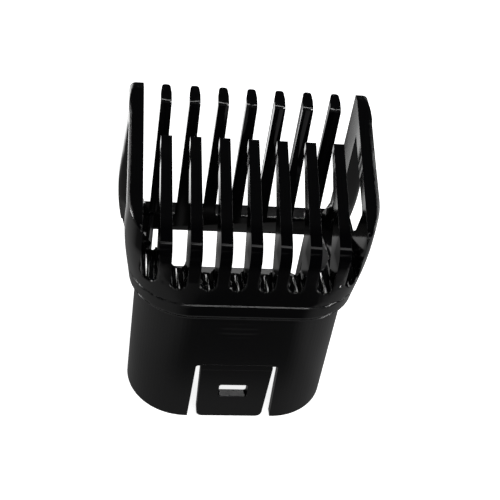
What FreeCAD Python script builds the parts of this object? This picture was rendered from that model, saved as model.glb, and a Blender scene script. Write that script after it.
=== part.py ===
"""Guide comb (attachment comb) of a hair clipper, as a parametric FreeCAD document.

Frame, in millimetres: +X to the right, +Y to the back, +Z up along the sleeve. The origin
is the middle of the sleeve's open bottom rim, so the comb stands on Z = 0 with its teeth up.

The comb is one plastic moulding. It is built here from the sections that a toolmaker names:
a sleeve with a latch tongue, a collar, a bowl, two cheeks, a rear rail with seven teeth,
and seven front ribs. They meet face to face, and only the latch tongue moves.
"""
import FreeCAD, Part
import os
import re

import Sketcher

Vector = FreeCAD.Vector

# Driving sizes: name, value in millimetres (or a count), what it is.
SIZES = [
    ("sleeve_width", 46.4, "sleeve, outside, side to side at its front"),
    ("sleeve_rear_width", 39.4, "sleeve, outside, side to side at its back"),
    ("sleeve_depth", 35.7, "sleeve, outside, front to back"),
    ("sleeve_top", 31.3, "height of the sleeve's side and front walls"),
    ("rear_wall_top", 11.0, "height of the sleeve's rear wall"),
    ("wall", 2.0, "thickness of the sleeve's wall"),
    ("front_corner", 12.5, "radius of the sleeve's front corners"),
    ("rear_corner", 8.0, "radius of the sleeve's rear corners"),
    ("rear_window_side", 2.25, "width of the sleeve's corner left beside the rear window"),
    ("tongue_top_width", 15.3, "latch tongue at its root"),
    ("tongue_tip_width", 14.3, "latch tongue at its lower edge"),
    ("tongue_length", 16.1, "latch tongue, from its lower edge to its root"),
    ("tongue_corner", 1.4, "radius of the tongue's lower corners"),
    ("slot_top_width", 1.05, "slot beside the tongue, at its closed end"),
    ("slot_mouth_width", 1.95, "slot beside the tongue, at its open end"),
    ("flex_gap", 0.15, "clearance over the tongue's root"),
    ("window_width", 6.2, "catch window in the tongue"),
    ("window_height", 3.7, "catch window in the tongue"),
    ("window_base", 6.5, "height of the catch window's lower edge"),
    ("window_corner", 0.5, "radius of the catch window's corners"),
    ("collar_height", 3.7, "band between the sleeve and the bowl"),
    ("collar_proud", 1.0, "how far the collar stands out from the sleeve's front"),
    ("foot_half", 23.3, "crown's half width at its lower edge"),
    ("foot_step", 0.5, "how much further out the rear leg stands there"),
    ("lip_half", 24.0, "crown's half width at the collar's top"),
    ("lip_step", 1.5, "how much further out the rear leg stands there"),
    ("belly_half", 24.8, "crown's half width above the bowl's rim"),
    ("belly_step", 1.1, "how much further out the rear leg stands there"),
    ("belly_height", 41.0, "height of that level"),
    ("brow_half", 25.0, "crown's half width at the brow"),
    ("brow_step", 0.5, "how much further out the rear leg stands there"),
    ("crest_half", 24.75, "crown's half width between the brow and the tips"),
    ("crest_height", 57.0, "height of that level"),
    ("tip_half", 24.3, "crown's half width at the tips"),
    ("tip_step", 0.2, "how much further out the rear leg stands there and at the tips"),
    ("step_run", 1.0, "how far back the step out to the rear leg takes"),
    ("crown_corner", 13.0, "radius of the crown's front corners"),
    ("guard_inner", 21.9, "half of the space between the two cheeks"),
    ("tip_height", 62.4, "height of the cheek tips"),
    ("tip_land", 1.9, "flat top of a cheek tip, front to back"),
    ("tip_corner", 1.3, "radius of a cheek tip's outer corner"),
    ("cheek_inset", 1.25, "how far the cheeks' back face lies in front of the sleeve's back"),
    ("heel_round", 3.0, "radius of the cheek's lower back corner"),
    ("brow_back", 4.3, "how far the brow lies behind the lip"),
    ("brow_height", 49.2, "height of the brow, where the cheek's edge turns down"),
    ("brow_round", 5.0, "radius of that turn"),
    ("leg_depth", 6.9, "cheek's rear leg, front to back"),
    ("opening_nose", 6.6, "nose of the cheek's opening, in front of Y = 0"),
    ("opening_chin", 5.2, "lower front corner of the opening, in front of Y = 0"),
    ("opening_chin_height", 44.2, "height of that corner"),
    ("opening_sill_front", 2.8, "front end of the opening's lower edge, along Y"),
    ("opening_nose_height", 49.8, "height of that nose"),
    ("apex_drop", 5.2, "how far the opening's top corner lies below the cheek tips"),
    ("opening_sill", 36.9, "height of the opening's lower edge at the back"),
    ("opening_round", 2.0, "radius of the opening's corners"),
    ("bowl_rim", 40.0, "height of the bowl's rim, on which the ribs stand"),
    ("rim_back", 1.2, "how far the rim lies behind the collar's front"),
    ("cavity_corner", 14.0, "radius of the cavity's front corners at the bowl's rim"),
    ("bowl_wall", 5.1, "thickness of the bowl's front wall at its rim"),
    ("tooth_pitch", 5.8, "spacing of the teeth and ribs"),
    ("rib_foot_width", 2.5, "front rib at its foot"),
    ("rib_top_width", 2.2, "front rib at its shoulder"),
    ("rib_bend_height", 47.6, "height of the bend in a front rib"),
    ("rib_bend_back", 0.3, "how far that bend lies behind the rib's foot"),
    ("rib_bend_round", 5.0, "radius of that bend"),
    ("rib_shoulder", 5.1, "shoulder of a front rib, along Y"),
    ("rib_shoulder_height", 58.1, "height of that shoulder"),
    ("rib_end_depth", 1.7, "front rib at its free end, top to underside"),
    ("rib_throat", 7.1, "turn in a rib's underside, in front of Y = 0"),
    ("rib_throat_height", 48.5, "height of that turn"),
    ("rail_inset", 5.25, "how far the rail's front face lies in front of the sleeve's back"),
    ("rail_depth", 3.9, "rail, front to back"),
    ("rail_top", 31.5, "height of the rail, on which the teeth stand"),
    ("rail_base", 26.8, "height of the rail's lower face"),
    ("tooth_foot_width", 2.85, "rear tooth at its foot"),
    ("tooth_bend_width", 2.2, "rear tooth at its top, across its front"),
    ("tooth_tip_width", 1.6, "rear tooth across its back edge"),
    ("tooth_depth", 3.9, "rear tooth, front to back"),
    ("tooth_bend_height", 60.8, "height of a rear tooth's front edge"),
    ("tooth_tip_height", 62.5, "height of a rear tooth's tip"),
    ("tooth_tip_round", 0.75, "radius of a rear tooth's tip"),
    ("teeth_each_side", 3, "teeth on each side of the middle one"),
    ("margin", 6.0, "how far the cutting blocks reach past the part"),
]

# Sizes that follow from the driving ones: name, formula, what it is.
FITS = [
    ("rail_front", "=sleeve_depth / 2 - rail_inset", "front face of the rail and the rear teeth, along Y"),
    ("crown_back", "=sleeve_depth / 2 - cheek_inset", "back face of the cheeks, along Y"),
    ("tip_front", "=crown_back - tip_land", "front of the cheek tips, along Y"),
    ("opening_back", "=crown_back - leg_depth", "rear edge of the cheek's opening, along Y"),
    ("opening_apex", "=tip_height - apex_drop", "height of the opening's top corner"),
]

doc = FreeCAD.newDocument("GuideComb")
sheet = doc.addObject("Spreadsheet::Sheet", "Sizes")
for line, (alias, setting, meaning) in enumerate(SIZES + FITS, start=1):
    sheet.set("A%d" % line, meaning)
    sheet.set("B%d" % line, str(setting))
    sheet.setAlias("B%d" % line, alias)
doc.recompute()

NAMES = {alias for alias, _, _ in SIZES + FITS}
FRAMES = {
    "top": FreeCAD.Rotation(),
    "front": FreeCAD.Rotation(Vector(1, 0, 0), Vector(0, 0, 1), Vector(0, -1, 0)),
    "side": FreeCAD.Rotation(Vector(0, 1, 0), Vector(0, 0, 1), Vector(1, 0, 0)),
}


def bound(text):
    """The expression with each size's name pointed at its cell."""
    return re.sub(r"[a-z_]+", lambda m: "Sizes." + m.group() if m.group() in NAMES else m.group(), text)


def value(text):
    """What the expression is worth now."""
    return float(sheet.evalExpression(bound(text)))


def bind(thing, **expressions):
    """Bind each named property of an object to an expression of the sizes."""
    for name, text in expressions.items():
        thing.setExpression(name.replace("__", "."), bound(text))


def draw(outline, corners, rounds):
    """Fill a sketch with a closed outline whose corners are pairs of expressions.

    Each corner's place is bound to the sheet. A corner named in rounds gets a tangent arc
    whose radius is bound too.
    """
    places = [Vector(value(across), value(up), 0) for across, up in corners]
    total = len(places)
    for here in range(total):
        outline.addGeometry(Part.LineSegment(places[here], places[(here + 1) % total]), False)
    for here in range(total):
        outline.addConstraint(Sketcher.Constraint("Coincident", here, 2, (here + 1) % total, 1))
    for here, (across, up) in enumerate(corners):
        for kind, text in (("DistanceX", across), ("DistanceY", up)):
            size = Sketcher.Constraint(kind, -1, 1, here, 1, value(text))
            outline.setExpression("Constraints[%d]" % outline.addConstraint(size), bound(text))
    for here, radius in rounds.items():
        arc = outline.GeometryCount
        outline.fillet(here, 1, value(radius), True, True)
        size = Sketcher.Constraint("Radius", arc, value(radius))
        outline.setExpression("Constraints[%d]" % outline.addConstraint(size), bound(radius))
    doc.recompute()
    return outline


def sketch(name, frame, corners, rounds=None, offset="0"):
    """A free-standing outline seen from the top, the front or the side."""
    outline = doc.addObject("Sketcher::SketchObject", name)
    outline.Placement = FreeCAD.Placement(Vector(), FRAMES[frame])
    axis = {"top": "z", "front": "y", "side": "x"}[frame]
    bind(outline, **{"Placement__Base__" + axis: offset})
    return draw(outline, corners, rounds or {})


def extrude(name, outline, ahead, behind="0"):
    """A solid drawn out along its outline's normal, and behind it."""
    solid = doc.addObject("Part::Extrusion", name)
    solid.Base = outline
    solid.DirMode = "Normal"
    solid.Solid = True
    bind(solid, LengthFwd=ahead, LengthRev=behind)
    return solid


def loft(name, *outlines):
    """A ruled or smooth solid through level outlines."""
    solid = doc.addObject("Part::Loft", name)
    solid.Sections = list(outlines)
    solid.Solid = True
    return solid


def common(name, *pieces):
    """What the pieces share."""
    solid = doc.addObject("Part::MultiCommon", name)
    solid.Shapes = list(pieces)
    solid.Refine = True
    return solid


def cut(name, base, tool):
    """The base without the tool."""
    solid = doc.addObject("Part::Cut", name)
    solid.Base = base
    solid.Tool = tool
    solid.Refine = True
    return solid


def fuse(name, *pieces):
    """The pieces as one solid, or as one tool for a cut."""
    solid = doc.addObject("Part::MultiFuse", name)
    solid.Shapes = list(pieces)
    solid.Refine = True
    return solid


def new_body(name):
    """A PartDesign body, with its origin planes by role."""
    body = doc.addObject("PartDesign::Body", name)
    planes = {feature.Role: feature for feature in body.Origin.OriginFeatures}
    return body, planes


def body_sketch(body, plane, name, corners, rounds=None, offset="0"):
    """An outline on one of the body's own origin planes, moved along its normal."""
    outline = body.newObject("Sketcher::SketchObject", name)
    outline.AttachmentSupport = (plane, [""])
    outline.MapMode = "FlatFace"
    bind(outline, AttachmentOffset__Base__z=offset)
    return draw(outline, corners, rounds or {})


def feature(body, kind, name, outline, length, backwards=False):
    """A Pad or Pocket of the outline."""
    made = body.newObject("PartDesign::" + kind, name)
    made.Profile = outline
    made.Reversed = backwards
    bind(made, Length=length)
    doc.recompute()
    return made


def centred(half_bottom, bottom, half_top, top):
    """Corners of a trapezoid that is centred from side to side."""
    return [("-" + half_bottom, bottom), (half_bottom, bottom), (half_top, top), ("-" + half_top, top)]


# Fits and places that follow from the sizes.
CROWN_FRONT = "(-sleeve_depth / 2 - collar_proud)"
COLLAR_TOP = "(sleeve_top + collar_height)"
RIM_FRONT = "(-sleeve_depth / 2 - collar_proud + rim_back)"
RIM_BACK = "(-sleeve_depth / 2 - collar_proud + rim_back + bowl_wall)"
BEYOND_BACK = "(crown_back + margin)"
RIB_GAP = "((tooth_pitch - rib_foot_width) / 2)"
OUTER_REACH = "(teeth_each_side * tooth_pitch)"

nodes = []


def keep(solid, node):
    """Name a finished sub-part."""
    solid.Label = node
    nodes.append(solid)
    return solid


def make_sleeve():
    """Rounded square tube, cut away at the back and slotted at the front."""
    body, planes = new_body("SleeveBody")
    deep = "(sleeve_depth / 2)"
    outer = body_sketch(body, planes["XY_Plane"], "SleeveOutside",
                        centred("(sleeve_width / 2)", "-" + deep, "(sleeve_rear_width / 2)", deep),
                        {0: "front_corner", 1: "front_corner", 2: "rear_corner", 3: "rear_corner"})
    feature(body, "Pad", "SleeveTube", outer, "sleeve_top")
    deep = "(sleeve_depth / 2 - wall)"
    inner = body_sketch(body, planes["XY_Plane"], "SleeveInside",
                        centred("(sleeve_width / 2 - wall)", "-" + deep,
                                "(sleeve_rear_width / 2 - wall)", deep),
                        {0: "front_corner - wall", 1: "front_corner - wall",
                         2: "rear_corner - wall", 3: "rear_corner - wall"})
    feature(body, "Pocket", "SleeveBore", inner, "sleeve_top + margin", True)
    side = "(sleeve_rear_width / 2 - rear_window_side)"
    rear = body_sketch(body, planes["XZ_Plane"], "RearWindowOutline",
                       centred(side, "rear_wall_top", side, "sleeve_top + margin"))
    feature(body, "Pocket", "RearWindow", rear, "sleeve_depth")
    heel = body_sketch(body, planes["XZ_Plane"], "HeelSeatOutline",
                       centred("sleeve_width", "rail_base", "sleeve_width", "sleeve_top + margin"),
                       offset="-rail_front")
    feature(body, "Pocket", "HeelSeat", heel, "sleeve_depth")
    mouth = "(tongue_tip_width / 2 + slot_mouth_width)"
    end = "(tongue_top_width / 2 + slot_top_width)"
    slots = body_sketch(body, planes["XZ_Plane"], "TongueSpaceOutline",
                        centred(mouth, "0", end, "tongue_length + flex_gap"),
                        {2: "slot_top_width / 2", 3: "slot_top_width / 2"})
    feature(body, "Pocket", "TongueSpace", slots, "sleeve_depth", True)
    keep(body, "sleeve")


def make_latch_tongue():
    """Springy tongue in the sleeve's front wall, with a catch window and a rounded root."""
    body, planes = new_body("TongueBody")
    back = "sleeve_depth / 2 - wall"
    plate = body_sketch(body, planes["XZ_Plane"], "TongueOutline",
                        centred("(tongue_tip_width / 2)", "0", "(tongue_top_width / 2)", "tongue_length"),
                        {0: "tongue_corner", 1: "tongue_corner"}, back)
    tongue = feature(body, "Pad", "TonguePlate", plate, "wall")
    half = "(window_width / 2)"
    hole = body_sketch(body, planes["XZ_Plane"], "CatchWindowOutline",
                       centred(half, "window_base", half, "window_base + window_height"),
                       {corner: "window_corner" for corner in range(4)}, back)
    tongue = feature(body, "Pocket", "CatchWindow", hole, "wall", True)
    top = value("tongue_length")
    ends = ["Edge%d" % number for number, edge in enumerate(tongue.Shape.Edges, start=1)
            if all(abs(corner.Z - top) < 1e-6 for corner in edge.Vertexes)
            and edge.Length > value("tongue_top_width") / 2]
    rounding = body.newObject("PartDesign::Fillet", "TongueRoot")
    rounding.Base = (tongue, ends)
    bind(rounding, Radius="wall * 0.49")
    doc.recompute()
    keep(body, "latch_tongue")


def crown_level(name, height, half, step):
    """Outline of the crown at one level, open to the back and a step wider at the rear legs."""
    leg_front, leg_half = "(opening_back + step_run)", "(%s + %s)" % (half, step)
    right = [(half, CROWN_FRONT), (half, "opening_back"), (leg_half, leg_front), (leg_half, BEYOND_BACK)]
    left = [("-" + across, along) for across, along in reversed(right)]
    return sketch(name, "top", right + left, {0: "crown_corner", 7: "crown_corner"}, height)


def make_crown_blank():
    """The crown's outer form, from the heels to the tips, before it is divided."""
    return loft("CrownBlank",
                crown_level("CrownFoot", "rail_base", "foot_half", "foot_step"),
                crown_level("CrownLip", COLLAR_TOP, "lip_half", "lip_step"),
                crown_level("CrownBelly", "belly_height", "belly_half", "belly_step"),
                crown_level("CrownBrow", "brow_height", "brow_half", "brow_step"),
                crown_level("CrownCrest", "crest_height", "crest_half", "tip_step"),
                crown_level("CrownTips", "tip_height + margin", "tip_half", "tip_step"))


def make_cavity():
    """The space that the clipper's head fills, from the sleeve's bore to the bowl's rim."""
    low_half, low_front = "(sleeve_width / 2 - wall)", "(-sleeve_depth / 2 + wall)"
    low_back = "(sleeve_rear_width / 2 - wall)"
    low = sketch("CavityFoot", "top",
                 [("-" + low_half, low_front), (low_half, low_front),
                  (low_back, BEYOND_BACK), ("-" + low_back, BEYOND_BACK)],
                 {0: "front_corner - wall", 1: "front_corner - wall"}, "sleeve_top")
    rim = sketch("CavityRim", "top",
                 [("-guard_inner", RIM_BACK), ("guard_inner", RIM_BACK),
                  ("guard_inner", BEYOND_BACK), ("-guard_inner", BEYOND_BACK)],
                 {0: "cavity_corner", 1: "cavity_corner"}, "bowl_rim")
    return loft("Cavity", low, rim)


def notch(name, middle, radius, height, front, length):
    """A round-bottomed gap, drawn along Y."""
    gap = doc.addObject("Part::Cylinder", name)
    gap.Placement = FreeCAD.Placement(Vector(), FreeCAD.Rotation(Vector(1, 0, 0), -90))
    bind(gap, Radius=radius, Height=length, Placement__Base__x=middle,
         Placement__Base__y=front, Placement__Base__z=height)
    return gap


def notches(name, foot_gap, foot_width, height, front, length):
    """Gaps between neighbouring feet, and wider ones between the end feet and the cheeks."""
    each_side = int(value("teeth_each_side"))
    made = [notch("%s%d" % (name, place + each_side), "tooth_pitch * (%d + 0.5)" % place,
                  foot_gap, height, front, length) for place in range(-each_side, each_side)]
    edge = "(%s + %s / 2)" % (OUTER_REACH, foot_width)
    for side in ("-", ""):
        made.append(notch("%sEnd" % name, "%s(guard_inner + %s) / 2" % (side, edge),
                          "(guard_inner - %s) / 2" % edge, height, front, length))
    return fuse(name + "Set", *made)


def make_collar_and_bowl(blank, cavity):
    """The band on top of the sleeve, and the bowl that carries the ribs."""
    band = sketch("CollarBand", "side",
                  [(CROWN_FRONT + " - margin", "sleeve_top"), ("rail_front", "sleeve_top"),
                   ("rail_front", COLLAR_TOP), (CROWN_FRONT + " - margin", COLLAR_TOP)])
    slab = extrude("CollarSlab", band, "guard_inner", "guard_inner")
    keep(cut("Collar", common("CollarSolid", blank, slab), cavity), "collar")
    bowl = sketch("BowlProfile", "side",
                  [(CROWN_FRONT, COLLAR_TOP), ("rail_front", COLLAR_TOP),
                   ("rail_front", "bowl_rim"), (RIM_FRONT, "bowl_rim")])
    slab = extrude("BowlSlab", bowl, "guard_inner", "guard_inner")
    hollow = cut("BowlHollow", common("BowlSolid", blank, slab), cavity)
    gaps = notches("RibGap", RIB_GAP, "rib_foot_width", "bowl_rim",
                   CROWN_FRONT + " - margin", "margin * 2 + bowl_wall + rim_back")
    keep(cut("Bowl", hollow, gaps), "front_bowl")


def make_cheeks(blank):
    """Side guards: a front strip and a back leg that meet at the tip and at the heel."""
    guard = sketch("CheekProfile", "side",
                   [(CROWN_FRONT, "sleeve_top"), ("rail_front", "sleeve_top"), ("rail_front", "rail_base"),
                    ("crown_back", "rail_base"), ("crown_back", "tip_height"), ("tip_front", "tip_height"),
                    (CROWN_FRONT + " + brow_back", "brow_height"), (CROWN_FRONT, COLLAR_TOP)],
                   {3: "heel_round", 6: "brow_round"})
    opening = sketch("CheekOpening", "side",
                     [("opening_back", "opening_apex"), ("-opening_nose", "opening_nose_height"),
                      ("-opening_chin", "opening_chin_height"), ("opening_sill_front", "opening_sill"),
                      ("opening_back", "opening_sill")],
                     {1: "opening_round / 2", 2: "opening_round", 3: "opening_round", 4: "opening_round / 2"})
    for side, node in ((-1, "left_cheek"), (1, "right_cheek")):
        far = "margin + guard_inner"
        reach = (far, "-guard_inner") if side > 0 else ("-guard_inner", far)
        plate = extrude(node + "_slab", guard, *reach)
        hole = extrude(node + "_hole", opening, *reach)
        sign = "" if side > 0 else "-"
        face = sketch(node + "_face", "front",
                      [(sign + "guard_inner", "rail_base"), (sign + "(brow_half + margin)", "rail_base"),
                       (sign + "(tip_half + tip_step)", "tip_height"), (sign + "guard_inner", "tip_height")],
                      {2: "tip_corner"})
        block = extrude(node + "_block", face, "sleeve_depth", "sleeve_depth")
        keep(cut(node + "_cut", common(node + "_plate", blank, plate, block), hole), node)


def make_rear_rail():
    """The bar between the cheeks' heels that joins the rear teeth."""
    rail = sketch("RailOutline", "front", centred("guard_inner", "rail_base", "guard_inner", "rail_top"),
                  offset="rail_front")
    keep(extrude("RailBar", rail, "0", "rail_depth"), "rear_rail")


def make_rear_teeth():
    """Flat-fronted teeth, thinner at the back, whose tops slope as the ribs' edges do."""
    back = "rail_front + tooth_depth"
    side = sketch("ToothSide", "side",
                  [("rail_front", "rail_top"), (back, "rail_top"), (back, "tooth_tip_height"),
                   ("rail_front", "tooth_bend_height")])
    slab = extrude("ToothSlab", side, "guard_inner", "guard_inner")
    each_side = int(value("teeth_each_side"))
    for place in range(-each_side, each_side + 1):
        middle = "tooth_pitch * %d" % place
        front = sketch("ToothFront%d" % (place + each_side), "front",
                       [(middle + " - tooth_foot_width / 2", "rail_top"),
                        (middle + " + tooth_foot_width / 2", "rail_top"),
                        (middle + " + tooth_bend_width / 2", "tooth_tip_height"),
                        (middle + " - tooth_bend_width / 2", "tooth_tip_height")])
        blade = extrude("ToothBlade%d" % (place + each_side), front, "margin", "crown_back + margin")
        plan = sketch("ToothPlan%d" % (place + each_side), "top",
                      [(middle + " - tooth_foot_width / 2", "rail_front"),
                       (middle + " + tooth_foot_width / 2", "rail_front"),
                       (middle + " + tooth_tip_width / 2", back),
                       (middle + " - tooth_tip_width / 2", back)],
                      {2: "tooth_tip_round", 3: "tooth_tip_round"})
        wedge = extrude("ToothWedge%d" % (place + each_side), plan, "tip_height")
        keep(common("Tooth%d" % (place + each_side), slab, blade, wedge),
             "rear_tooth_%d" % (place + each_side + 1))


def make_front_ribs(blank):
    """Blades on the bowl's rim that lean back to a free end, one in front of each rear tooth."""
    side = sketch("RibSide", "side",
                  [(RIM_FRONT, "bowl_rim"), (RIM_BACK, "bowl_rim"), ("-rib_throat", "rib_throat_height"),
                   ("rib_shoulder", "rib_shoulder_height - rib_end_depth"),
                   ("rib_shoulder", "rib_shoulder_height"),
                   (RIM_FRONT + " + rib_bend_back", "rib_bend_height")],
                  {2: "rib_bend_round", 5: "rib_bend_round"})
    slab = extrude("RibSlab", side, "guard_inner", "guard_inner")
    each_side = int(value("teeth_each_side"))
    for place in range(-each_side, each_side + 1):
        middle = "tooth_pitch * %d" % place
        front = sketch("RibFront%d" % (place + each_side), "front",
                       [(middle + " - rib_foot_width / 2", "bowl_rim"),
                        (middle + " + rib_foot_width / 2", "bowl_rim"),
                        (middle + " + rib_top_width / 2", "rib_shoulder_height"),
                        (middle + " - rib_top_width / 2", "rib_shoulder_height")])
        blade = extrude("RibBlade%d" % (place + each_side), front, "sleeve_depth", "sleeve_depth")
        keep(common("Rib%d" % (place + each_side), slab, blade, blank),
             "front_rib_%d" % (place + each_side + 1))


def write_parts():
    """Check every object and write each sub-part's solid."""
    doc.recompute()
    for thing in doc.Objects:
        if "Invalid" in thing.State or "Error" in thing.State:
            raise RuntimeError("%s failed: %s" % (thing.Name, thing.State))
    os.makedirs("parts", exist_ok=True)
    for solid in nodes:
        if solid.Shape.isNull() or not solid.Shape.isValid():
            raise RuntimeError("%s has no valid shape" % solid.Label)
        solid.Shape.exportStep("parts/%s.step" % solid.Label)
        box = solid.Shape.BoundBox
        print("%-14s %d solid, %8.1f mm3, Z %.1f to %.1f" % (
            solid.Label, len(solid.Shape.Solids), solid.Shape.Volume, box.ZMin, box.ZMax))


crown_blank = make_crown_blank()
cavity = make_cavity()
make_sleeve()
make_latch_tongue()
make_collar_and_bowl(crown_blank, cavity)
make_cheeks(crown_blank)
make_rear_rail()
make_rear_teeth()
make_front_ribs(crown_blank)
write_parts()
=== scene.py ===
import bmesh
import bpy
import numpy as np
from mathutils import Matrix, Vector


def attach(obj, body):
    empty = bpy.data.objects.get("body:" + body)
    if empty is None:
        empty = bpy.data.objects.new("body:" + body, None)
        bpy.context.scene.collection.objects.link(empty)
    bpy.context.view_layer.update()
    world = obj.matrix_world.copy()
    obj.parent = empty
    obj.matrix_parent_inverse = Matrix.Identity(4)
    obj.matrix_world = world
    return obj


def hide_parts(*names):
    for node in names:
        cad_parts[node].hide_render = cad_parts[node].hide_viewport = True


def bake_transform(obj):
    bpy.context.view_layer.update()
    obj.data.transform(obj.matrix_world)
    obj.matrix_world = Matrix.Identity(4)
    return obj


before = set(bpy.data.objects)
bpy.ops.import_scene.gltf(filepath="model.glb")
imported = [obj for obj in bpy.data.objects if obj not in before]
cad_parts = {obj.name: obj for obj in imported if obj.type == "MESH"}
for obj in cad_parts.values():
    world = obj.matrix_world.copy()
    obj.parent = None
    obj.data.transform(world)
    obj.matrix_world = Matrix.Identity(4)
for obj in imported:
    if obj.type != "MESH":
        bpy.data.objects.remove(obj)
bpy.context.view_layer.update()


# The comb stands in front of a viewer who looks down on its front from a little to its left.
# The camera is about 0.25 m away, and leans to one side as a hand-held one does.
mm = 0.001
turn, tilt, lean = np.radians([-12.28, 41.59, 10.24])
distance, aside, upward = 250.25 * mm, 6.45 * mm, 24.23 * mm
sensor_width_mm, focal_length_mm = 36.0, 77.9

across_view = np.array([np.cos(turn), np.sin(turn), 0.0])
to_viewer = np.array([np.sin(turn) * np.cos(tilt), -np.cos(turn) * np.cos(tilt), np.sin(tilt)])
up_view = np.cross(to_viewer, across_view)
right = np.cos(lean) * across_view + np.sin(lean) * up_view
top = np.cos(lean) * up_view - np.sin(lean) * across_view

camera = bpy.data.objects.new("camera", bpy.data.cameras.new("camera"))
bpy.context.scene.collection.objects.link(camera)
camera.data.sensor_width = sensor_width_mm
camera.data.lens = focal_length_mm
camera.data.clip_start = 10.0 * mm
camera.matrix_world = Matrix(np.column_stack([right, top, to_viewer]).tolist()).to_4x4()
camera.location = aside * right + upward * top + distance * to_viewer
bpy.context.scene.camera = camera


# The studio is a dark room with a few soft boxes. Each is small or far off to one side, so that
# the black plastic shows short bright lines on its arrises and pale bands along its flanks.
def hex_linear(code):
    """sRGB hex colour as linear red, green, blue and alpha, by the sRGB curve's two pieces."""
    parts = np.array([int(code[place:place + 2], 16) for place in (1, 3, 5)]) / 255.0
    linear = np.where(parts <= 0.04045, parts / 12.92, ((parts + 0.055) / 1.055) ** 2.4)
    return (*linear, 1.0)


def add_node(tree, kind, links=(), **settings):
    """A node of a shader tree, with its sockets' values or links and its other settings."""
    made = tree.nodes.new(kind)
    for name, setting in settings.items():
        setattr(made, name, setting)
    for socket, value in dict(links).items():
        if isinstance(value, bpy.types.NodeSocket):
            tree.links.new(value, made.inputs[socket])
        else:
            made.inputs[socket].default_value = value
    return made


def softbox(name, bearing, elevation, wide, high, watts):
    """Panel light that faces the comb's middle from lamp_reach away.

    Its direction is (sin b cos e, -cos b cos e, sin e) for a bearing b, which is 0 in front and
    90 at the comb's right, and an elevation e, both in degrees.
    """
    bearing, elevation = np.radians(bearing), np.radians(elevation)
    out = Vector((np.sin(bearing) * np.cos(elevation), -np.cos(bearing) * np.cos(elevation),
                  np.sin(elevation)))
    lamp = bpy.data.lights.new(name, "AREA")
    lamp.shape = "RECTANGLE"
    lamp.size, lamp.size_y, lamp.energy = wide, high, watts
    panel = bpy.data.objects.new(name, lamp)
    bpy.context.scene.collection.objects.link(panel)
    panel.location = out * lamp_reach + comb_middle
    panel.rotation_mode = "QUATERNION"
    panel.rotation_quaternion = (-out).to_track_quat("-Z", "Y")


lamp_reach, comb_middle = 0.60, Vector((0.0, 0.0, 35.0 * mm))
softbox("rear_lamp", 168.0, 45.5, 0.08, 0.04, 0.36)     # the rail's top and the cheeks' tips
softbox("key_lamp", 56.0, 10.0, 0.10, 0.12, 2.0)        # glints on the collar's right
softbox("side_lamp", -90.0, 12.0, 0.08, 0.08, 1.0)      # the line down the left flank
for bearing, watts in ((-75.0, 0.10), (-38.0, 0.12), (-1.0, 0.03), (36.0, 0.12), (73.0, 0.12)):
    softbox("strip_lamp", bearing, 32.0, 0.38, 0.025, watts)    # lines round the lip
softbox("upper_lamp", 11.0, 58.0, 0.30, 0.06, 0.9)      # the teeth's bends
softbox("left_panel", -100.0, 22.0, 0.30, 0.16, 1.2)    # pale bands on the flanks
softbox("right_panel", 95.0, 25.0, 0.30, 0.16, 1.2)

room_level, paper_level = 0.03, 1.0
world = bpy.data.worlds.new("studio")
bpy.context.scene.world = world
world.use_nodes = True
tree = world.node_tree
tree.nodes.clear()
ray = add_node(tree, "ShaderNodeLightPath")
room = add_node(tree, "ShaderNodeBackground", {"Color": hex_linear("#FFFFFF"), "Strength": room_level})
paper = add_node(tree, "ShaderNodeBackground", {"Color": hex_linear("#FFFFFF"), "Strength": paper_level})
mixed = add_node(tree, "ShaderNodeMixShader",
                 {0: ray.outputs["Is Camera Ray"], 1: room.outputs[0], 2: paper.outputs[0]})
add_node(tree, "ShaderNodeOutputWorld", {"Surface": mixed.outputs[0]})


# The comb stands on a flat sheet of matt white card, 3 m square, that runs out of sight. Only in what the
# plastic mirrors, the card glows with painted shade and painted light, as if dark flags stood over it, with
# pale gaps beside, before and behind.
def card_surface(reach, sink, cells):
    """Flat square, x and y from -reach to reach at z = -sink, as a grid of cells by cells."""
    line = np.linspace(-reach, reach, cells + 1)
    across, along = np.meshgrid(line, line, indexing="ij")
    points = np.stack([across.ravel(), along.ravel(), np.full(across.size, -sink)], axis=1)
    first = (np.arange(cells)[:, None] * (cells + 1) + np.arange(cells)[None, :]).ravel()
    faces = np.stack([first, first + cells + 1, first + cells + 2, first + 1], axis=1)
    return points, faces


def placed(name, points, faces):
    """Object at the origin whose mesh has these points, in metres, and these faces."""
    mesh = bpy.data.meshes.new(name)
    mesh.from_pydata(points.tolist(), [], faces.tolist())
    made = bpy.data.objects.new(name, mesh)
    bpy.context.scene.collection.objects.link(made)
    return made


def bare_material(name):
    """Material whose node tree is still empty."""
    made = bpy.data.materials.new(name)
    made.use_nodes = True
    made.node_tree.nodes.clear()
    return made


# Uncoated card, matt all over and lit evenly, so that it looks white and only the comb's soft
# shadow marks it. It glows a little less near the comb, where that shadow lies.
# The card's material also holds that painted shade and painted light, which show only in reflections.
card_paint = bare_material("white_card_painted_reflections")
tree = card_paint.node_tree
ray = add_node(tree, "ShaderNodeLightPath")
place = add_node(tree, "ShaderNodeTexCoord")
split = add_node(tree, "ShaderNodeSeparateXYZ", {"Vector": place.outputs["Object"]})
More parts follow.
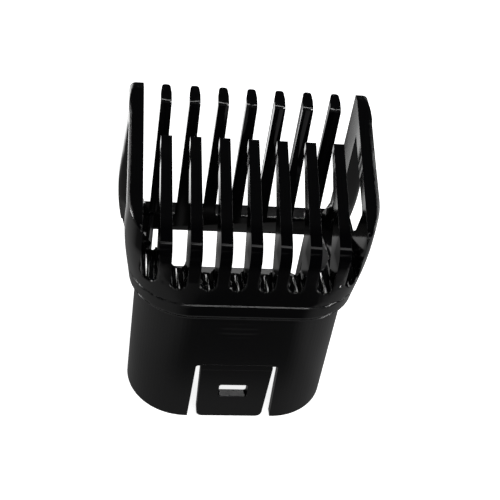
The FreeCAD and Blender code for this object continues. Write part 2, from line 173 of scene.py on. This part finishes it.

# Seen only in reflections, a painted dark lane of shade runs from front to back under the comb. Its middle
# is where x + 0.23 y = -7 mm, and it ends in a soft edge on either side, 14 to 36 mm off.
lane_slant, lane_shift = 0.23, 7.0 * mm
lane_edge, lane_end = 14.0 * mm, 36.0 * mm
lane_shade, lane_light = 0.03, 0.22
lane = add_node(tree, "ShaderNodeVectorMath",
                {0: place.outputs["Object"], 1: (1.0, lane_slant, 0.0)}, operation="DOT_PRODUCT")
lane = add_node(tree, "ShaderNodeMath", {0: lane.outputs["Value"], 1: lane_shift}, operation="ADD")
lane = add_node(tree, "ShaderNodeMath", {0: lane.outputs[0]}, operation="ABSOLUTE")
sides = add_node(tree, "ShaderNodeMapRange",
                 {"Value": lane.outputs[0], "From Min": lane_edge, "From Max": lane_end,
                  "To Min": lane_shade, "To Max": lane_light}, interpolation_type="SMOOTHSTEP")

# Seen only in reflections, painted light makes the card bright behind the comb, as far to the right as a
# painted flag's shade whose edge lies where x + 0.29 y = 21.4 to 22.9 mm.
back_start, back_full, back_light = 25.0 * mm, 85.0 * mm, 1.8
flag_slant, flag_edge, flag_end, flag_leak = 0.29, 21.4 * mm, 22.9 * mm, 0.12
behind = add_node(tree, "ShaderNodeMapRange",
                  {"Value": split.outputs["Y"], "From Min": back_start, "From Max": back_full,
                   "To Max": back_light}, interpolation_type="SMOOTHSTEP")
aslant = add_node(tree, "ShaderNodeVectorMath",
                  {0: place.outputs["Object"], 1: (1.0, flag_slant, 0.0)}, operation="DOT_PRODUCT")
flagged = add_node(tree, "ShaderNodeMapRange",
                   {"Value": aslant.outputs["Value"], "From Min": flag_edge, "From Max": flag_end,
                    "To Min": 1.0, "To Max": flag_leak}, interpolation_type="SMOOTHSTEP")
rear = add_node(tree, "ShaderNodeMath",
                {0: behind.outputs["Result"], 1: flagged.outputs["Result"]}, operation="MULTIPLY")

# Seen only in reflections, the card is painted grey close in front of the comb and under it, and painted
# dark further forward.
front_start, front_full, front_light = -37.0 * mm, -22.0 * mm, 0.17
close = add_node(tree, "ShaderNodeMapRange",
                 {"Value": split.outputs["Y"], "From Min": front_start, "From Max": front_full,
                  "To Max": front_light}, interpolation_type="SMOOTHSTEP")
painted_reflection_level = add_node(tree, "ShaderNodeMath",
                     {0: sides.outputs["Result"], 1: rear.outputs[0]}, operation="MAXIMUM")
painted_reflection_level = add_node(tree, "ShaderNodeMath",
                     {0: painted_reflection_level.outputs[0], 1: close.outputs["Result"]}, operation="MAXIMUM")
# Emission seen only in reflections: the painted shade and painted light above, drawn on the comb as a
# painted reflection.
painted_reflection = add_node(tree, "ShaderNodeEmission", {"Strength": painted_reflection_level.outputs[0]})

near_fill, far_fill = 0.86, 1.0
near, far = 100.0 * mm, 600.0 * mm
matt = add_node(tree, "ShaderNodeBsdfPrincipled", {"Base Color": hex_linear("#F6F6F6"), "Roughness": 0.9})
away = add_node(tree, "ShaderNodeVectorMath", {0: place.outputs["Object"]}, operation="LENGTH")
fill = add_node(tree, "ShaderNodeMapRange",
                {"Value": away.outputs["Value"], "From Min": near, "From Max": far,
                 "To Min": near_fill, "To Max": far_fill})
glow = add_node(tree, "ShaderNodeEmission",
                {"Color": hex_linear("#FFFFFF"), "Strength": fill.outputs["Result"]})
white = add_node(tree, "ShaderNodeAddShader", {0: matt.outputs[0], 1: glow.outputs[0]})
shown = add_node(tree, "ShaderNodeMixShader",
                 {0: ray.outputs["Is Camera Ray"], 1: painted_reflection.outputs[0], 2: white.outputs[0]})
add_node(tree, "ShaderNodeOutputMaterial", {"Surface": shown.outputs[0]})

card_half, card_sink, card_cells = 1.5, 0.1 * mm, 8
card = placed("white_card", *card_surface(card_half, card_sink, card_cells))
card.data.materials.append(card_paint)


# The sleeve is the rounded tube that slides over the clipper's head, and its tongue springs
# between two slots to catch the clipper's lug. Both are moulded ABS, in one with the comb.
def united(name, nodes, trimmer=None):
    """One mesh for CAD nodes that meet face to face: their union, less what the trimmer cuts away.

    It is shaded smooth, with a sharp edge wherever two faces meet at more than 28 degrees.
    """
    copies = []
    for node in nodes:
        work = bmesh.new()
        work.from_mesh(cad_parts[node].data)
        bmesh.ops.remove_doubles(work, verts=work.verts, dist=0.001 * mm)
        copy = bpy.data.meshes.new(node + "_copy")
        work.to_mesh(copy)
        work.free()
        copies.append(bpy.data.objects.new(node + "_copy", copy))
    whole = copies[0]
    bpy.context.scene.collection.objects.link(whole)
    if len(copies) > 1:
        others = bpy.data.collections.new(name + "_parts")
        for copy in copies[1:]:
            others.objects.link(copy)
        join = whole.modifiers.new("join", "BOOLEAN")
        join.operation, join.solver = "UNION", "EXACT"
        join.operand_type, join.collection = "COLLECTION", others
    if trimmer:
        trim = whole.modifiers.new("trim", "BOOLEAN")
        trim.operation, trim.solver, trim.object = "DIFFERENCE", "EXACT", trimmer
        copies.append(trimmer)
    graph = bpy.context.evaluated_depsgraph_get()
    mesh = bpy.data.meshes.new_from_object(whole.evaluated_get(graph))
    mesh.name = name
    for copy in copies:
        bpy.data.objects.remove(copy)
    mesh.materials.clear()
    mesh.shade_smooth()
    mesh.set_sharp_from_angle(angle=np.radians(28.0))
    piece = bpy.data.objects.new(name, mesh)
    bpy.context.scene.collection.objects.link(piece)
    even = piece.modifiers.new("even", "WEIGHTED_NORMAL")
    even.keep_sharp, even.weight = True, 100
    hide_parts(*nodes)
    return piece


# Black ABS, moulded against spark-eroded steel. Its satin skin spreads what it mirrors into soft
# bands, and its arrises are barely rounded. The real grain, about 0.05 mm, is too fine to show,
# so it is drawn at 0.22 mm.
grain_cell, grain_depth, grain_strength = mm / 4.5, 0.02 * mm, 0.12
satin_arris, satin_roughness, plastic_ior = 0.25 * mm, (0.26, 0.36), 1.5
satin = bare_material("satin_black_abs")
tree = satin.node_tree
place = add_node(tree, "ShaderNodeTexCoord")
grain = add_node(tree, "ShaderNodeTexNoise",
                 {"Vector": place.outputs["Object"], "Scale": 1.0 / grain_cell, "Detail": 2.0})

# A few faint ripples, 1.43 mm apart, lie under the collar, where the melt slowed as it filled
# the mould. A wave texture repeats ten times in pi units of length.
ripple_gap, ripple_depth = 1.428 * mm, 0.08 * mm
ripple_middle = (-1.0 * mm, -18.0 * mm, 27.2 * mm)
ripple_reach = (5.56 * mm, 3.33 * mm, 2.78 * mm)
ripple = add_node(tree, "ShaderNodeTexWave",
                  {"Vector": place.outputs["Object"], "Scale": np.pi / (10.0 * ripple_gap),
                   "Distortion": 1.5, "Detail": 1.0, "Detail Scale": 0.4},
                  wave_type="BANDS", bands_direction="Z")
patch = add_node(tree, "ShaderNodeVectorMath",
                 {0: place.outputs["Object"], 1: ripple_middle}, operation="SUBTRACT")
patch = add_node(tree, "ShaderNodeVectorMath",
                 {0: patch.outputs[0], 1: ripple_reach}, operation="DIVIDE")
patch = add_node(tree, "ShaderNodeVectorMath", {0: patch.outputs[0]}, operation="LENGTH")
patch = add_node(tree, "ShaderNodeMapRange",
                 {"Value": patch.outputs["Value"], "From Min": 0.5, "To Min": 1.0, "To Max": 0.0},
                 interpolation_type="SMOOTHSTEP")
ripple = add_node(tree, "ShaderNodeMath",
                  {0: ripple.outputs["Fac"], 1: patch.outputs["Result"]}, operation="MULTIPLY")

shape = add_node(tree, "ShaderNodeBevel", {"Radius": satin_arris}, samples=6)
shape = add_node(tree, "ShaderNodeBump",
                 {"Height": ripple.outputs[0], "Strength": 1.0, "Distance": ripple_depth,
                  "Normal": shape.outputs[0]})
shape = add_node(tree, "ShaderNodeBump",
                 {"Height": grain.outputs["Fac"], "Strength": grain_strength, "Distance": grain_depth,
                  "Normal": shape.outputs[0]})
sheen = add_node(tree, "ShaderNodeMapRange",
                 {"Value": grain.outputs["Fac"], "To Min": satin_roughness[0],
                  "To Max": satin_roughness[1]})
skin = add_node(tree, "ShaderNodeBsdfPrincipled",
                {"Base Color": hex_linear("#060607"), "Roughness": sheen.outputs[0],
                 "IOR": plastic_ior, "Normal": shape.outputs[0]})
add_node(tree, "ShaderNodeOutputMaterial", {"Surface": skin.outputs[0]})

for name, node, body in (("satin_sleeve", "sleeve", "comb"), ("sprung_tongue", "latch_tongue", "tongue")):
    piece = united(name, [node])
    piece.data.materials.append(satin)
    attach(piece, body)


# The tongue's root is the same wall as the sleeve's, and bends where it crosses from one to the
# other. This skin carries the satin surface over the line where the two are divided.
def root_skin(half_wide, low, high, front, thick, steps):
    """Closed flat strip: loops of four corners, from height low to height high in equal steps."""
    heights = np.repeat(np.linspace(low, high, steps + 1), 4)
    across = np.tile([-half_wide, half_wide, half_wide, -half_wide], steps + 1)
    along = np.tile([front, front, front + thick, front + thick], steps + 1)
    points = np.stack([across, along, heights], axis=1)
    corner = np.arange(4)
    ring = np.stack([corner, (corner + 1) % 4, (corner + 1) % 4 + 4, corner + 4], axis=1)
    walls = (ring[None] + 4 * np.arange(steps)[:, None, None]).reshape(-1, 4)
    ends = np.array([[3, 2, 1, 0], [4 * steps, 4 * steps + 1, 4 * steps + 2, 4 * steps + 3]])
    return points, np.vstack([walls, ends])


skin_half, skin_low, skin_high = 7.5 * mm, 14.9 * mm, 16.6 * mm
skin_front, skin_thick, skin_steps = -17.86 * mm, 0.6 * mm, 12
piece = placed("tongue_root_skin",
               *root_skin(skin_half, skin_low, skin_high, skin_front, skin_thick, skin_steps))
piece.data.materials.append(satin)
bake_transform(piece)


# The crown is the comb itself: collar, bowl, cheeks, rail, seven teeth and seven ribs, which run
# into each other. It is the same moulding as the sleeve, from a polished part of the mould.
def arris_cutter(half_wide, along, height, slope, depth, deep, tall):
    """Bar along X that takes an arris off: a rectangle in Y and Z, carried from -half_wide to half_wide.

    The arris is at along and height. The bar's near face lies depth inside it and leans back by
    slope from upright. The rectangle is deep outwards and tall upwards, about the arris.
    """
    out = np.array([-np.cos(slope), np.sin(slope)])
    up = np.array([np.sin(slope), np.cos(slope)])
    near = np.array([along, height]) - depth * out
    half = tall / 2.0
    square = np.array([near - half * up, near + half * up,
                       near + half * up + deep * out, near - half * up + deep * out])
    points = np.column_stack([np.repeat([-half_wide, half_wide], 4), np.tile(square, (2, 1))])
    faces = np.array([[3, 2, 1, 0], [4, 5, 6, 7], [0, 1, 5, 4], [1, 2, 6, 5], [2, 3, 7, 6], [3, 0, 4, 7]])
    return points, faces


# Black ABS, moulded against polished steel. It mirrors like lacquer, so it is black but for short
# bright lines on its arrises, which are crisp on the blades and well rounded on the cheeks.
blade_arris, bowl_arris, cheek_arris = 0.06 * mm, 0.5 * mm, 1.3 * mm
cheek_inner, cheek_outer = 22.6 * mm, 23.6 * mm
blade_foot, bowl_brim = 43.0 * mm, 41.0 * mm
gloss_roughness = (0.07, 0.14)
gloss = bare_material("polished_black_abs")
tree = gloss.node_tree
place = add_node(tree, "ShaderNodeTexCoord")
split = add_node(tree, "ShaderNodeSeparateXYZ", {"Vector": place.outputs["Object"]})
outward = add_node(tree, "ShaderNodeMath", {0: split.outputs["X"]}, operation="ABSOLUTE")
cheek_round = add_node(tree, "ShaderNodeMapRange",
                       {"Value": outward.outputs[0], "From Min": cheek_inner, "From Max": cheek_outer,
                        "To Min": blade_arris, "To Max": cheek_arris}, interpolation_type="SMOOTHSTEP")
bowl_round = add_node(tree, "ShaderNodeMapRange",
                      {"Value": split.outputs["Z"], "From Min": blade_foot, "From Max": bowl_brim,
                       "To Min": blade_arris, "To Max": bowl_arris})
rounding = add_node(tree, "ShaderNodeMath",
                    {0: cheek_round.outputs["Result"], 1: bowl_round.outputs["Result"]}, operation="MAXIMUM")
shape = add_node(tree, "ShaderNodeBevel", {"Radius": rounding.outputs[0]}, samples=8)

# Sink marks about 6 mm across make what it mirrors waver, more in the thick bowl than on the
# thin blades.
sink_cell, sink_depth, bowl_top = 6.25 * mm, 0.3 * mm, 40.0 * mm
bowl_sink, blade_sink = 0.14, 0.012
sink = add_node(tree, "ShaderNodeTexNoise",
                {"Vector": place.outputs["Object"], "Scale": 1.0 / sink_cell, "Detail": 1.0})
sunk = add_node(tree, "ShaderNodeMapRange",
                {"Value": split.outputs["Z"], "From Min": bowl_top, "From Max": blade_foot,
                 "To Min": bowl_sink, "To Max": blade_sink})
shape = add_node(tree, "ShaderNodeBump",
                 {"Height": sink.outputs["Fac"], "Strength": sunk.outputs["Result"],
                  "Distance": sink_depth, "Normal": shape.outputs[0]})

# Round the front the bowl's foot stands 0.4 mm in from the collar, and a shallow groove, 0.6 mm
# wide, runs along the collar's foot. Each row is where a step starts and ends, and its rise.
relief_depth, front_end, flank_start = 0.4 * mm, 0.0, 4.0 * mm
relief = 0.0
for low, high, rise in ((34.7, 35.2, -1.0), (31.5, 31.8, -0.6), (31.8, 32.1, 0.6)):
    edge = add_node(tree, "ShaderNodeMapRange",
                    {"Value": split.outputs["Z"], "From Min": low * mm, "From Max": high * mm,
                     "To Max": rise}, interpolation_type="SMOOTHSTEP")
    relief = add_node(tree, "ShaderNodeMath", {0: relief, 1: edge.outputs["Result"]}).outputs[0]
front = add_node(tree, "ShaderNodeMapRange",
                 {"Value": split.outputs["Y"], "From Min": flank_start, "From Max": front_end,
                  "To Min": 0.0, "To Max": 1.0}, interpolation_type="SMOOTHSTEP")
relief = add_node(tree, "ShaderNodeMath", {0: relief, 1: front.outputs["Result"]}, operation="MULTIPLY")
shape = add_node(tree, "ShaderNodeBump",
                 {"Height": relief.outputs[0], "Strength": 1.0, "Distance": relief_depth,
                  "Normal": shape.outputs[0]})

# The ribs' bends are made to reflect less than the rest, so that the upper lamp draws no bright
# line on them: a twelfth of the shine within 3.2 mm of their height, and all of it beyond 5 mm.
full_shine, shine_lost = 0.5, 0.46
bend_height, bend_dull, bend_bright = 48.0 * mm, 3.2 * mm, 5.0 * mm
rib_back, rib_front = -11.0 * mm, -13.0 * mm
bend = add_node(tree, "ShaderNodeMath", {0: split.outputs["Z"], 1: bend_height}, operation="SUBTRACT")
bend = add_node(tree, "ShaderNodeMath", {0: bend.outputs[0]}, operation="ABSOLUTE")
bend = add_node(tree, "ShaderNodeMapRange",
                {"Value": bend.outputs[0], "From Min": bend_dull, "From Max": bend_bright,
                 "To Min": shine_lost, "To Max": 0.0})
ahead = add_node(tree, "ShaderNodeMapRange",
                 {"Value": split.outputs["Y"], "From Min": rib_back, "From Max": rib_front,
                  "To Min": 0.0, "To Max": 1.0})
lost = add_node(tree, "ShaderNodeMath", {0: bend.outputs[0], 1: ahead.outputs[0]}, operation="MULTIPLY")
shine = add_node(tree, "ShaderNodeMath", {0: full_shine, 1: lost.outputs[0]}, operation="SUBTRACT")

haze = add_node(tree, "ShaderNodeMapRange",
                {"Value": sink.outputs["Fac"], "To Min": gloss_roughness[0], "To Max": gloss_roughness[1]})
skin = add_node(tree, "ShaderNodeBsdfPrincipled",
                {"Base Color": hex_linear("#040405"), "Roughness": haze.outputs[0],
                 "IOR": plastic_ior, "Specular IOR Level": shine.outputs[0],
                 "Normal": shape.outputs[0]})
add_node(tree, "ShaderNodeOutputMaterial", {"Surface": skin.outputs[0]})

# Each tooth has a fine chamfer where it bends back to its tip, at the same place on all seven.
teeth_half, tooth_front, tooth_bend = 20.0 * mm, 12.6 * mm, 60.8 * mm
chamfer_slope, chamfer_depth = np.radians(47.0), 0.22 * mm
bar_deep, bar_tall = 1.0 * mm, 3.0 * mm
cutter = placed("arris_cutter", *arris_cutter(teeth_half, tooth_front, tooth_bend, chamfer_slope,
                                              chamfer_depth, bar_deep, bar_tall))
work = bmesh.new()
work.from_mesh(cutter.data)
bmesh.ops.recalc_face_normals(work, faces=work.faces)
work.to_mesh(cutter.data)
work.free()

crown_nodes = [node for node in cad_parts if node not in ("sleeve", "latch_tongue")]
piece = united("polished_crown", crown_nodes, cutter)
piece.data.materials.append(gloss)
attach(piece, "comb")


bpy.context.scene.view_settings.view_transform = "Standard"
